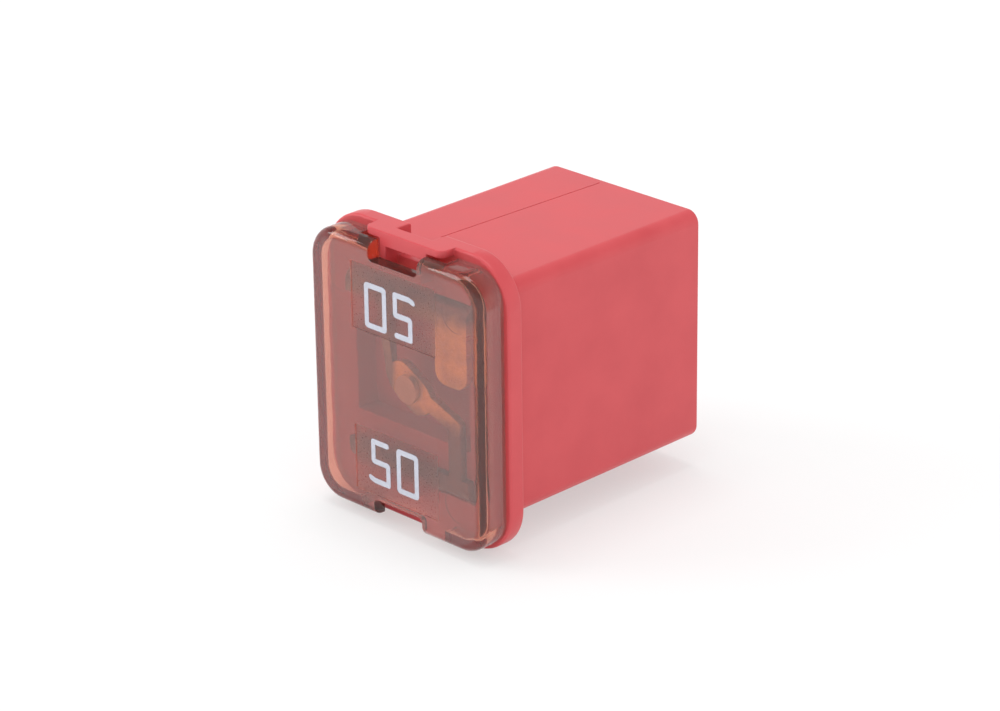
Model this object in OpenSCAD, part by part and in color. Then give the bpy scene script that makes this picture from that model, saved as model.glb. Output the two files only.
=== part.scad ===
// Small automotive cartridge fuse with female blade terminals, lying on its side with the cap to the front.
// Millimetres, +Z up. Y runs from the cap, at -Y, to the open terminal end, at +Y.

/* [Housing] */
// Width of the rim flange
flange_w = 11.9; // [11:0.1:13]
// Height of the rim flange
flange_h = 14.6; // [13.8:0.1:16]
// Thickness of the rim flange
flange_t = 0.9; // [0.6:0.05:1.4]
// Corner radius of the rim flange
flange_r = 2.4; // [1.6:0.1:2.8]
// Width of the body behind the flange
body_w = 9.85; // [9:0.05:10.5]
// Height of the body behind the flange
body_h = 11.65; // [11.2:0.05:12.2]
// Length of the body behind the flange
body_l = 12.95; // [12:0.05:16]
// Radius of the body's long edges
body_r = 0.65; // [0.3:0.05:0.85]
// Thickness of the body's outer walls
wall_t = 0.9; // [0.7:0.05:1.1]
// Thickness of the deck that closes the body under the cap
deck_t = 2; // [1.6:0.1:2.6]

/* [Terminal chambers] */
// Thickness of each inner wall between the chambers
partition_t = 0.9; // [0.6:0.05:1.1]
// Height of the empty space between the two inner walls
relief_h = 1.8; // [1.2:0.1:2]
// Height of the ridges that trap each spring clip
ridge_h = 0.2; // [0.15:0.05:0.3]
// Length of the ridges that trap each spring clip
ridge_l = 0.5; // [0.3:0.05:0.7]

/* [Puller bar] */
// Width of the bar across the top
bar_w = 5.1; // [4.6:0.1:5.4]
// Thickness of the bar above the slot
bar_t = 0.72; // [0.6:0.02:0.84]
// Radius of the bar's front corners
bar_r = 0.4; // [0.2:0.05:0.6]
// Width of the slot between the two posts of the neck
slot_w = 2.3; // [1.8:0.05:2.5]
// Height of the slot through the flange, below the bar's lower face
slot_h = 0.6; // [0.4:0.05:0.7]
// Height of the neck that carries the bar
neck_h = 1.75; // [1.6:0.05:2]

/* [Cap] */
// Ledge of the flange left bare beside the cap
ledge_x = 0.3; // [0.2:0.05:0.5]
// Ledge of the flange left bare above and below the cap
ledge_z = 0.425; // [0.35:0.025:0.6]
// Depth of the cap in front of the flange
cap_d = 1.5; // [1.35:0.05:2]
// Thickness of the cap's front plate
plate_t = 0.7; // [0.5:0.05:0.8]
// Thickness of the cap's side walls
skirt_t = 0.55; // [0.4:0.05:0.7]
// Corner radius of the cap
cap_r = 1.6; // [1.3:0.1:1.8]
// Radius of the cap's front edge
cap_edge_r = 0.45; // [0.2:0.05:0.5]
// Width of the notch at the top and bottom of the cap
notch_w = 3.2; // [2.9:0.1:3.6]
// Depth of the notch at the top and bottom of the cap
notch_d = 0.87; // [0.7:0.01:1]
// Radius of the notch's inner corners
notch_r = 0.25; // [0.1:0.05:0.4]
// Width of the gap in the cap's top and bottom walls
skirt_gap_w = 5.6; // [5.5:0.1:6.4]
// Width of each grained panel on the cap's front
panel_w = 5.5; // [4.5:0.1:6]
// Height of each grained panel on the cap's front
panel_h = 3.3; // [2.8:0.1:3.4]
// Distance from the cap's middle to the middle of a grained panel
panel_z = 4.08; // [3.9:0.02:4.2]
// Depth of each grained panel
panel_d = 0.05; // [0.03:0.01:0.1]

/* [Fuse element] */
// Thickness of the stamped sheet
sheet_t = 0.4; // [0.3:0.05:0.5]
// Gap between the two heads of the element
head_gap = 7.4; // [7:0.1:7.6]
// Inner radius of the bend between a head and its leg
bend_r = 0.3; // [0.2:0.05:0.5]
// Distance from the open end to the tip of each leg
leg_setback = 1.2; // [0.8:0.1:2]
// Width of the shoulder that hangs from the upper head
shoulder_w = 2.05; // [1.7:0.05:2.3]
// Height of the shoulder that hangs from the upper head
shoulder_h = 2.9; // [2.6:0.05:3]
// Corner radius of the shoulder
shoulder_r = 0.7; // [0.3:0.05:0.8]
// Width of the thin part of the link
link_w = 0.5; // [0.35:0.05:0.7]
// Width of the wide part of the link
tail_w = 0.8; // [0.6:0.05:1]
// Width of the pad in the middle of the link
pad_w = 1.8; // [1.6:0.05:2]
// Height of the pocket in the deck behind the link
pocket_h = 4.6; // [4.4:0.1:5]
// Width of the pocket in the deck behind the link
pocket_w = 7.4; // [7:0.1:7.8]
// Depth of the pocket in the deck behind the link
pocket_d = 1.2; // [0.8:0.1:1.4]

/* [Tin rivet] */
// Radius of the rivet's stem
stem_r = 0.35; // [0.25:0.05:0.45]
// Radius of the rivet's front head
front_r = 0.7; // [0.55:0.05:0.8]
// Thickness of the rivet's front head
front_t = 0.25; // [0.15:0.05:0.3]
// Radius of the rivet's rear head
rear_r = 0.55; // [0.5:0.05:0.7]
// Thickness of the rivet's rear head
rear_t = 0.2; // [0.1:0.05:0.3]

/* [Spring clips] */
// Width of each spring clip
clip_w = 6; // [5:0.1:7]
// Thickness of the spring sheet
clip_t = 0.25; // [0.2:0.01:0.3]
// Length of each spring clip
clip_l = 7.5; // [6.5:0.1:8]
// Distance from the open end to the fold of each clip
clip_setback = 1.6; // [1.3:0.1:2.2]
// Radius of the fold, at the middle of the sheet
fold_r = 0.45; // [0.35:0.05:0.55]
// Gap that the spring leaves beside the leg, less than a blade's thickness
blade_gap = 0.35; // [0.2:0.05:0.6]

/* [Fits] */
// Clearance between pieces that slide together
fit_gap = 0.05; // [0.02:0.01:0.08]
// Clearance around the rivet's stem
stem_gap = 0.02; // [0.01:0.01:0.05]

/* [Hidden] */
$fn = 64;
// Number of steps along the fold and the bow of a spring clip, and round the ends of the link's strips
fold_steps = 12;
bow_steps = 24;
round_steps = 12;
// How far every cut runs past the face that it opens
overrun = 0.5;

// Places along Y, with the whole length centred on the origin
total_l = cap_d + flange_t + body_l;
cap_y = -total_l / 2;
plate_y = cap_y + plate_t;
flange_y = cap_y + cap_d;
body_y = flange_y + flange_t;
deck_y = flange_y + deck_t;
end_y = total_l / 2;

// Height of the fuse's axis above the surface that its flange lies on
axis_z = flange_h / 2;

cap_w = flange_w - 2 * ledge_x;
cap_h = flange_h - 2 * ledge_z;
cavity_w = body_w - 2 * wall_t;
cavity_h = body_h - 2 * wall_t;
chamber_z = relief_h / 2 + partition_t;
bar_y = plate_y;
neck_w = notch_w - 2 * fit_gap;
bar_z = flange_h / 2 - bar_t;
slot_z = bar_z - slot_h;
arm_z = cap_h / 2 + fit_gap;

leg_w = cavity_w - 2 * fit_gap;
leg_z = cavity_h / 2 - fit_gap;
head_z = leg_z - sheet_t - bend_r;
leg_slot_t = sheet_t + 2 * fit_gap;
leg_y = end_y - leg_setback;
head_y = flange_y - sheet_t;

// Places on the link, as shares of half the leg's width and half the gap between the heads
link_shares = [[-0.4, 1], [-0.27, 0.07], [0.05, 0]];
tail_shares = [[0.05, 0], [0.78, -0.3], [0.78, -1]];
pad_shares = [[-0.08, 0.07], [0.18, -0.1]];
rivet_share = (pad_shares[0] + pad_shares[1]) / 2;

clip_base_z = chamber_z + clip_t / 2;
clip_fold_y = end_y - clip_setback - clip_t / 2 - fold_r;
clip_back_y = end_y - clip_setback - clip_l;
leaf_z = clip_base_z + 2 * fold_r;
crown_z = leg_z - sheet_t - blade_gap - clip_t / 2;
// The leaf's free end stops short of a whole wave, so that it stays above the base
leaf_wave_share = 0.85;
ridge_w = clip_w;

// Half-way point of the element in the plane of the heads, for a pair of shares
function link_at(share) = [share[0] * leg_w / 2, share[1] * head_gap / 2];

// Height of the leaf's middle line at a share of its length, a cosine wave that crowns beside the leg
function leaf_at(share) =
    [clip_fold_y - (clip_fold_y - clip_back_y) * share,
     leaf_z + (crown_z - leaf_z) * (1 - cos(360 * leaf_wave_share * share)) / 2];

// Middle line of a spring clip in Y and Z: base, fold and bowed leaf
clip_path = concat(
    [[clip_back_y, clip_base_z]],
    [for (i = [0 : fold_steps])
        let (turn = 180 * i / fold_steps - 90)
        [clip_fold_y + fold_r * cos(turn), clip_base_z + fold_r + fold_r * sin(turn)]],
    [for (i = [1 : bow_steps]) leaf_at(i / bow_steps)]);

// Unit direction across a path at one of its points
function across(path, i) =
    let (a = path[max(i - 1, 0)],
         b = path[min(i + 1, len(path) - 1)],
         d = (b - a) / norm(b - a))
    [-d[1], d[0]];

// Outline of a strip of one thickness that follows a path
function strip_outline(path, t) = concat(
    [for (i = [0 : len(path) - 1]) path[i] + across(path, i) * t / 2],
    [for (i = [len(path) - 1 : -1 : 0]) path[i] - across(path, i) * t / 2]);

// Carries a shape from the fuse's axis to the height at which it lies
module on_axis() {
    translate([0, 0, axis_z])
        children();
}

// Extrudes an outline drawn in X and Z from one place on Y to another
module slab(from_y, to_y) {
    translate([0, to_y, 0])
        rotate([90, 0, 0])
            linear_extrude(to_y - from_y)
                children();
}

// Extrudes an outline drawn in Y and Z across X, centred
module across_x(w) {
    translate([-w / 2, 0, 0])
        rotate([90, 0, 90])
            linear_extrude(w)
                children();
}

// Block between two corners
module block(low, high) {
    translate(low)
        cube(high - low);
}

// Rectangle with round corners, centred
module round_rect(w, h, r) {
    square([w, h - 2 * r], center = true);
    square([w - 2 * r, h], center = true);
    for (sx = [-1, 1], sz = [-1, 1])
        translate([sx * (w / 2 - r), sz * (h / 2 - r)])
            circle(r);
}

// Rectangle from y = 0 to y = d whose two corners at y = 0 are round, centred in X
module front_rounded(w, d, r) {
    translate([-w / 2, r])
        square([w, d - r]);
    translate([r - w / 2, 0])
        square([w - 2 * r, d]);
    for (sx = [-1, 1])
        translate([sx * (w / 2 - r), r])
            circle(r);
}

// Points of a half circle around a point, from one angle to the opposite one
function half_round(centre, r, from) =
    [for (i = [0 : round_steps])
        let (turn = from + 180 * i / round_steps)
        centre + [r * cos(turn), r * sin(turn)]];

// Straight strip with round ends from one point to another
module bar_2d(a, b, w) {
    heading = atan2(b[1] - a[1], b[0] - a[0]);
    polygon(concat(half_round(a, w / 2, heading + 90), half_round(b, w / 2, heading - 90)));
}

// Strips that join a list of points
module chain_2d(points, w) {
    for (i = [0 : len(points) - 2])
        bar_2d(points[i], points[i + 1], w);
}

// Neck in front of the flange, which the slot parts into two posts, with the bar across its top
module puller() {
    block([-neck_w / 2, bar_y, flange_h / 2 - neck_h],
          [neck_w / 2, body_y, flange_h / 2]);
    translate([0, bar_y, arm_z])
        linear_extrude(flange_h / 2 - arm_z)
            front_rounded(bar_w, flange_y + overrun - bar_y, bar_r);
}

// Opening for a puller's hook: between the posts of the neck, and up through the flange behind the bar
module puller_slot() {
    block([-slot_w / 2, bar_y - overrun, flange_h / 2 - neck_h - overrun],
          [slot_w / 2, flange_y, bar_z]);
    block([-slot_w / 2, flange_y - overrun, slot_z],
          [slot_w / 2, body_y + overrun, bar_z]);
    block([-slot_w / 2, flange_y, slot_z],
          [slot_w / 2, body_y + overrun, flange_h / 2 + overrun]);
}

// Space for one terminal, open at the end, with the slot that its leg passes through the deck.
// The slot is wider at the deck's front, where the sheet bends
module chamber() {
    block([-cavity_w / 2, deck_y, chamber_z],
          [cavity_w / 2, end_y + overrun, cavity_h / 2]);
    block([-cavity_w / 2, flange_y - overrun, cavity_h / 2 - leg_slot_t],
          [cavity_w / 2, deck_y + overrun, cavity_h / 2]);
    block([-cavity_w / 2, flange_y - overrun, head_z],
          [cavity_w / 2, flange_y + bend_r, cavity_h / 2]);
}

// Ridges on the inner wall at both ends of a spring clip
module ridges() {
    for (y = [clip_back_y - fit_gap - ridge_l, end_y - clip_setback + fit_gap])
        block([-ridge_w / 2, y, chamber_z - partition_t / 2],
              [ridge_w / 2, y + ridge_l, chamber_z + ridge_h]);
}

// Moulded box with its rim flange, deck, inner walls and puller bar
module housing() {
    color([0.8, 0.2, 0.22])
        on_axis() {
            difference() {
                union() {
                    slab(flange_y, body_y)
                        round_rect(flange_w, flange_h, flange_r);
                    slab(flange_y, end_y)
                        round_rect(body_w, body_h, body_r);
                    puller();
                }
                for (side = [0, 1])
                    mirror([0, 0, side])
                        chamber();
                block([-cavity_w / 2, deck_y, -relief_h / 2],
                      [cavity_w / 2, end_y + overrun, relief_h / 2]);
                block([-pocket_w / 2, flange_y - overrun, -pocket_h / 2],
                      [pocket_w / 2, flange_y + pocket_d, pocket_h / 2]);
                puller_slot();
            }
            for (side = [0, 1])
                mirror([0, 0, side])
                    ridges();
        }
}

// Solid form of the cap, with its front edge rounded all round
module cap_form() {
    intersection() {
        slab(cap_y, flange_y)
            round_rect(cap_w, cap_h, cap_r);
        translate([0, cap_y, -cap_h / 2 - overrun])
            linear_extrude(cap_h + 2 * overrun)
                front_rounded(cap_w, cap_d, cap_edge_r);
        translate([-cap_w / 2 - overrun, cap_y, 0])
            rotate([0, 90, 0])
                linear_extrude(cap_w + 2 * overrun)
                    front_rounded(cap_h, cap_d, cap_edge_r);
    }
}

// Clear tray that is welded to the flange's front, with notches and grained panels
module cap() {
    color([0.62, 0.36, 0.27, 0.6])
        on_axis()
            difference() {
                cap_form();
                slab(plate_y, flange_y + overrun)
                    round_rect(cap_w - 2 * skirt_t, cap_h - 2 * skirt_t, cap_r - skirt_t);
                for (side = [-1, 1]) {
                    slab(cap_y - overrun, flange_y + overrun)
                        translate([0, side * cap_h / 2])
                            round_rect(notch_w, 2 * notch_d, notch_r);
                    slab(plate_y, flange_y + overrun)
                        translate([0, side * cap_h / 2])
                            square([skirt_gap_w, 2 * skirt_t + 2 * overrun], center = true);
                    slab(cap_y - overrun, cap_y + panel_d)
                        translate([0, side * panel_z])
                            square([panel_w, panel_h], center = true);
                }
            }
}

// Bend and leg of one terminal, from the outer edge of its head to near the open end
module leg() {
    across_x(leg_w) {
        translate([head_y + sheet_t + bend_r, head_z])
            intersection() {
                difference() {
                    circle(bend_r + sheet_t);
                    circle(bend_r);
                }
                translate([-bend_r - sheet_t, 0])
                    square(bend_r + sheet_t);
            }
        translate([head_y + sheet_t + bend_r, leg_z - sheet_t])
            square([leg_y - head_y - sheet_t - bend_r, sheet_t]);
    }
}

// Outline of the two heads and the link in the plane under the cap
module heads_2d() {
    for (side = [-1, 1])
        translate([0, side * (head_gap / 2 + head_z) / 2])
            square([leg_w, head_z - head_gap / 2], center = true);
    translate([(leg_w - shoulder_w) / 2, (head_gap - shoulder_h) / 2])
        round_rect(shoulder_w, shoulder_h, shoulder_r);
    translate([(leg_w - shoulder_w) / 2, (head_gap / 2 - shoulder_r + head_z) / 2])
        square([shoulder_w, head_z - head_gap / 2 + shoulder_r], center = true);
    chain_2d([for (share = link_shares) link_at(share)], link_w);
    chain_2d([for (share = tail_shares) link_at(share)], tail_w);
    bar_2d(link_at(pad_shares[0]), link_at(pad_shares[1]), pad_w);
}

// One stamped and bent sheet: two heads, the link between them and two legs
module fuse_element() {
    color([0.78, 0.74, 0.68])
        on_axis() {
            slab(head_y, flange_y)
                difference() {
                    heads_2d();
                    translate(link_at(rivet_share))
                        circle(stem_r + stem_gap);
                }
            for (side = [0, 1])
                mirror([0, 0, side])
                    leg();
        }
}

// Tin rivet through the pad of the link, with a head on both faces
module tin_rivet() {
    place = link_at(rivet_share);
    color([0.85, 0.85, 0.86])
        on_axis()
            translate([place[0], head_y, place[1]])
                rotate([-90, 0, 0])
                    rotate_extrude()
                        polygon([[0, -front_t], [front_r, -front_t], [front_r, 0], [stem_r, 0],
                                 [stem_r, sheet_t], [rear_r, sheet_t],
                                 [rear_r, sheet_t + rear_t], [0, sheet_t + rear_t]]);
}

// Folded spring that presses a blade against the leg beside it
module spring_clip() {
    across_x(clip_w)
        polygon(strip_outline(clip_path, clip_t));
}

module clip_upper() {
    color([0.7, 0.72, 0.74])
        on_axis()
            spring_clip();
}

module clip_lower() {
    color([0.7, 0.72, 0.74])
        on_axis()
            mirror([0, 0, 1])
                spring_clip();
}

housing();
cap();
fuse_element();
tin_rivet();
clip_upper();
clip_lower();
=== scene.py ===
"""Dresses a low-profile cartridge fuse: red housing, clear tinted cap, stamped element and spring clips."""

import logging
import math
from collections.abc import Iterable
from dataclasses import dataclass
from enum import Enum

import bmesh
import bpy
from mathutils import Matrix, Vector


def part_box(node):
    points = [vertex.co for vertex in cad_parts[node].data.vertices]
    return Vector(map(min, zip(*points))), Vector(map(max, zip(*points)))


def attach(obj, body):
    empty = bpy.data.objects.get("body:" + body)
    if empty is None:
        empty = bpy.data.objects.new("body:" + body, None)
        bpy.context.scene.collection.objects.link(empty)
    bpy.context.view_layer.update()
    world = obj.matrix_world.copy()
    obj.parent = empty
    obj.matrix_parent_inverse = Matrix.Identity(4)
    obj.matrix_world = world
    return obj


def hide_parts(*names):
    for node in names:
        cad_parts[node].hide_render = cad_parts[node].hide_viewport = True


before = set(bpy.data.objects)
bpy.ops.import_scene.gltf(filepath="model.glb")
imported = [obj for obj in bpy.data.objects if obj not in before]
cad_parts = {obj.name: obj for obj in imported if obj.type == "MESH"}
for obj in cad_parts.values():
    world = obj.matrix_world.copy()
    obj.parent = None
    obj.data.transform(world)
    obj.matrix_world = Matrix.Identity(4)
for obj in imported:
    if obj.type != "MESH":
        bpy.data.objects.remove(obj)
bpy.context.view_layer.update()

LOG = logging.getLogger("fuse")

Pair = tuple[float, float]
Triple = tuple[float, float, float]
Colour = tuple[float, float, float, float]
Socket = bpy.types.NodeSocket
Feed = Socket | float | Triple | Colour

# Metres in a millimetre: meshes are shaped in millimetres on the fuse's axis and stored in metres
MM = 0.001
# How far a cutter runs past the face that it opens
OVERRUN = 0.5
# Vertices closer than this are one vertex
WELD = 0.0005
# Neighbouring faces that turn by less than this are one face
FLAT_TURN = math.radians(0.2)
# Edges that turn by more than this are sharp
SHARP_TURN = math.radians(38)
# Faces that look along an axis at least this squarely are flat
SQUARE = 0.999
# Steps along an outline's corner, across a broken edge and round a disc
CORNER_STEPS = 10
EDGE_STEPS = 2
DISC_STEPS = 48
# Marks on the cap: its grained faces, and its flat faces, which are a little hazier than its rounds
GRAIN = "grain"
HAZE = "haze"
# Values between which most of a noise lies, and all the values that a mark or a pattern can have
NOISE_SPAN = (0.3, 0.7)
FULL_SPAN = (0.0, 1.0)
# How many finer layers a noise has, and a noise that is as long as it is wide
NOISE_DETAIL = 3.0
EVEN = (1.0, 1.0, 1.0)
# Size of the patches by which the border of a plating wanders, in millimetres
BORDER_PATCH = 0.6
# Plain white of the studio
WHITE = (1.0, 1.0, 1.0, 1.0)


class Join(Enum):
    """Ways to combine two solids."""

    ADD = "UNION"
    CUT = "DIFFERENCE"


class Side(Enum):
    """Halves of the fuse above and below its axis."""

    UPPER = 1
    LOWER = -1


class Axis(Enum):
    """Axes of the frame, by their number."""

    X = 0
    Y = 1
    Z = 2


class Sum(Enum):
    """Sums that patterns and rays are worked out by."""

    TAKE = "SUBTRACT"
    SIZE = "ABSOLUTE"
    TIMES = "MULTIPLY"
    TIMES_AND_ADD = "MULTIPLY_ADD"
    LARGER = "MAXIMUM"


@dataclass(frozen=True)
class FuseFrame:
    """Main places of the fuse, in millimetres around its own axis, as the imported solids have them."""

    flange_w: float
    flange_h: float
    cap_w: float
    cap_h: float
    cap_y: float
    plate_y: float
    flange_y: float
    end_y: float
    axis_z: float

    @classmethod
    def read(cls) -> "FuseFrame":
        """Reads the places from the boxes of the housing and the cap.

        Returns:
            The main places of the fuse.
        """
        low, high = (Vector(corner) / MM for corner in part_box("housing"))
        cap_low, cap_high = (Vector(corner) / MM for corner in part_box("cap"))
        return cls(
            flange_w=high.x - low.x,
            flange_h=high.z - low.z,
            cap_w=cap_high.x - cap_low.x,
            cap_h=cap_high.z - cap_low.z,
            cap_y=cap_low.y,
            plate_y=low.y,
            flange_y=cap_high.y,
            end_y=high.y,
            axis_z=(low.z + high.z) / 2,
        )


def add_object(name: str, data: bpy.types.ID) -> bpy.types.Object:
    """Adds an object to the scene, at the origin.

    Args:
        name: Name of the object.
        data: Its mesh, lamp or camera.

    Returns:
        The object.
    """
    thing = bpy.data.objects.new(name, data)
    bpy.context.scene.collection.objects.link(thing)
    return thing


def add_mesh(name: str, mesh: bmesh.types.BMesh) -> bpy.types.Object:
    """Adds an object with a copy of a mesh.

    Args:
        name: Name of the object.
        mesh: The mesh, which stays as it is.

    Returns:
        The object.
    """
    data = bpy.data.meshes.new(name)
    mesh.to_mesh(data)
    return add_object(name, data)


class Solid:
    """A closed mesh in millimetres around the fuse's axis, shaped by mesh operators and boolean joins."""

    def __init__(self, mesh: bmesh.types.BMesh) -> None:
        """Holds a mesh that is still being shaped."""
        self.mesh = mesh

    @classmethod
    def prism(
        cls, corners: Iterable[Vector], sweep: Vector, rounds: dict[int, float], steps: int = CORNER_STEPS
    ) -> "Solid":
        """Sweeps a flat outline whose named corners are rounded.

        Args:
            corners: Corners of the outline in order.
            sweep: Way that the outline is extruded.
            rounds: Radius for each corner that is rounded, by its place in the list.
            steps: Steps along each rounded corner.

        Returns:
            The closed solid.
        """
        mesh = bmesh.new()
        points = [mesh.verts.new(corner) for corner in corners]
        mesh.faces.new(points)
        for radius in sorted(set(rounds.values())):
            chosen = [points[place] for place, value in rounds.items() if value == radius]
            bmesh.ops.bevel(mesh, geom=chosen, offset=radius, offset_type="ABSOLUTE", segments=steps,
                            profile=0.5, affect="VERTICES", material=-1)
        return cls(mesh).swept(sweep)

    @classmethod
    def plate(
        cls, size: Pair, radius: float, span: Pair, at: Pair = (0.0, 0.0), steps: int = CORNER_STEPS
    ) -> "Solid":
        """Rounded rectangle in X and Z, swept along Y.

        Args:
            size: Width and height.
            radius: Radius of its four corners.
            span: First and last place on Y.
            at: Middle of the rectangle in X and Z.
            steps: Steps along each corner.

        Returns:
            The closed solid.
        """
        corners = [
            Vector((at[0] + across * size[0] / 2, span[0], at[1] + up * size[1] / 2))
            for across, up in ((-1, -1), (1, -1), (1, 1), (-1, 1))
        ]
        rounds = dict.fromkeys(range(len(corners)), radius) if radius else {}
        return cls.prism(corners, Vector((0, span[1] - span[0], 0)), rounds, steps)

    @classmethod
    def block(cls, low: Triple, high: Triple) -> "Solid":
        """Block between two corners."""
        middle = ((low[0] + high[0]) / 2, (low[2] + high[2]) / 2)
        return cls.plate((high[0] - low[0], high[2] - low[2]), 0, (low[1], high[1]), middle)

    @classmethod
    def disc(cls, radius: float, span: Pair, at: Pair) -> "Solid":
        """Round plate in X and Z, swept along Y.

        Args:
            radius: Its radius.
            span: First and last place on Y.
            at: Its middle in X and Z.

        Returns:
            The closed solid.
        """
        mesh = bmesh.new()
        place = Matrix.Translation((at[0], span[0], at[1])) @ Matrix.Rotation(math.pi / 2, 4, "X")
        bmesh.ops.create_circle(mesh, cap_ends=True, segments=DISC_STEPS, radius=radius, matrix=place)
        return cls(mesh).swept(Vector((0, span[1] - span[0], 0)))

    @classmethod
    def of_node(cls, node: str, axis_z: float) -> "Solid":
        """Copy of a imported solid, with its split vertices merged.

        Args:
            node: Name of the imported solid.
            axis_z: Height of the fuse's axis, in millimetres.

        Returns:
            The solid in millimetres around the fuse's axis.
        """
        mesh = bmesh.new()
        mesh.from_mesh(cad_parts[node].data)
        mesh.transform(Matrix.Translation((0, 0, -axis_z)) @ Matrix.Scale(1 / MM, 4))
        return cls(mesh).merged()

    def swept(self, sweep: Vector) -> "Solid":
        """Extrudes a flat face into a closed solid.

        Args:
            sweep: Way and length of the extrusion.

        Returns:
            This solid.
        """
        made = bmesh.ops.extrude_face_region(self.mesh, geom=self.mesh.faces[:])
        moved = [item for item in made["geom"] if isinstance(item, bmesh.types.BMVert)]
        bmesh.ops.translate(self.mesh, verts=moved, vec=sweep)
        bmesh.ops.recalc_face_normals(self.mesh, faces=self.mesh.faces[:])
        return self

    def merged(self) -> "Solid":
        """Makes one vertex of split ones and one face of flat neighbours.

        Returns:
            This solid.
        """
        bmesh.ops.remove_doubles(self.mesh, verts=self.mesh.verts[:], dist=WELD)
        bmesh.ops.dissolve_limit(self.mesh, angle_limit=FLAT_TURN, verts=self.mesh.verts[:],
                                 edges=self.mesh.edges[:])
        return self

    def edges_on(self, axis: Axis, value: float) -> list[bmesh.types.BMEdge]:
        """Finds the edges that lie wholly at one place on an axis.

        Args:
            axis: The axis.
            value: Place on it.

        Returns:
            The edges.
        """
        return [
            edge for edge in self.mesh.edges
            if all(abs(vert.co[axis.value] - value) < WELD for vert in edge.verts)
        ]

    def round_edges(self, edges: list[bmesh.types.BMEdge], radius: float, steps: int) -> "Solid":
        """Rounds the given edges.

        Args:
            edges: Edges to round.
            radius: Distance from each edge at which its round starts.
            steps: Steps across the round.

        Returns:
            This solid.
        """
        bmesh.ops.bevel(self.mesh, geom=edges, offset=radius, offset_type="OFFSET", segments=steps,
                        profile=0.5, affect="EDGES", material=-1, clamp_overlap=False)
        return self

    def round_sharp(self, radius: float, seat_y: float | None = None) -> "Solid":
        """Rounds every edge that is still sharp, apart from those of a seat.

        Args:
            radius: Distance from each edge at which its round starts.
            seat_y: Place on Y of a face that sits on another piece and keeps its edges.

        Returns:
            This solid.
        """
        seated = set() if seat_y is None else set(self.edges_on(Axis.Y, seat_y))
        sharp = [
            edge for edge in self.mesh.edges
            if edge not in seated and len(edge.link_faces) == 2 and edge.calc_face_angle(0.0) > SHARP_TURN
        ]
        return self.round_edges(sharp, radius, EDGE_STEPS)

    def press_down(self, top: float) -> "Solid":
        """Brings points that a rounding lifted above a height back to it.

        Args:
            top: The height.

        Returns:
            This solid.
        """
        for vert in self.mesh.verts:
            vert.co.z = min(vert.co.z, top)
        return self

    def with_both_sides(self) -> tuple["Solid", "Solid"]:
        """Adds the same solid on the other side of the fuse's axis.

        Returns:
            This solid and its mirror image.
        """
        twin = Solid(self.mesh.copy())
        bmesh.ops.scale(twin.mesh, verts=twin.mesh.verts[:], vec=(1, 1, -1))
        bmesh.ops.recalc_face_normals(twin.mesh, faces=twin.mesh.faces[:])
        return self, twin

    def combine(self, join: Join, *others: "Solid") -> "Solid":
        """Adds solids to this one or cuts them from it.

        Args:
            join: Whether the others are added or cut.
            others: Solids that are used up.

        Returns:
            This solid.
        """
        for other in others:
            base, tool = add_mesh("base", self.mesh), add_mesh("tool", other.mesh)
            boolean = base.modifiers.new("join", "BOOLEAN")
            boolean.operation = join.value
            boolean.solver = "EXACT"
            boolean.object = tool
            view = base.evaluated_get(bpy.context.evaluated_depsgraph_get())
            self.mesh.clear()
            self.mesh.from_mesh(view.to_mesh())
            view.to_mesh_clear()
            for scratch in (base, tool):
                bpy.data.meshes.remove(scratch.data)
            other.mesh.free()
        return self.merged()

    def piece(self, name: str, axis_z: float) -> bpy.types.Object:
        """Stores the mesh as a finished object, in metres at its place in the frame.

        Args:
            name: Name of the piece.
            axis_z: Height of the fuse's axis, in millimetres.

        Returns:
            The object, at the origin, with smooth faces between its sharp edges.
        """
        self.mesh.transform(Matrix.Scale(MM, 4) @ Matrix.Translation((0, 0, axis_z)))
        thing = add_mesh(name, self.mesh)
        self.mesh.free()
        thing.data.shade_smooth()
        thing.data.set_sharp_from_angle(angle=SHARP_TURN)
        even = thing.modifiers.new("even_normals", "WEIGHTED_NORMAL")
        even.keep_sharp = True
        return thing


def add_node(
    tree: bpy.types.NodeTree, kind: str, feeds: dict[str | int, Feed], **settings: str
) -> bpy.types.Node:
    """Adds a node to a material or the world, and links or sets its inputs.

    Args:
        tree: Nodes of the material or the world.
        kind: Type of the node.
        feeds: Source or plain value of each input, by its name or number.
        settings: Options of the node itself.

    Returns:
        The node.
    """
    node = tree.nodes.new(kind)
    for name, value in settings.items():
        setattr(node, name, value)
    for key, value in feeds.items():
        if isinstance(value, Socket):
            tree.links.new(value, node.inputs[key])
        else:
            node.inputs[key].default_value = value
    return node


def work_out(tree: bpy.types.NodeTree, kind: Sum, *terms: Socket | float) -> Socket:
    """Works out a number from sources and plain values.

    Args:
        tree: Nodes of the material or the world.
        kind: The sum.
        terms: What goes into it, in order.

    Returns:
        The number.
    """
    return add_node(tree, "ShaderNodeMath", dict(enumerate(terms)), operation=kind.value).outputs[0]


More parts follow.
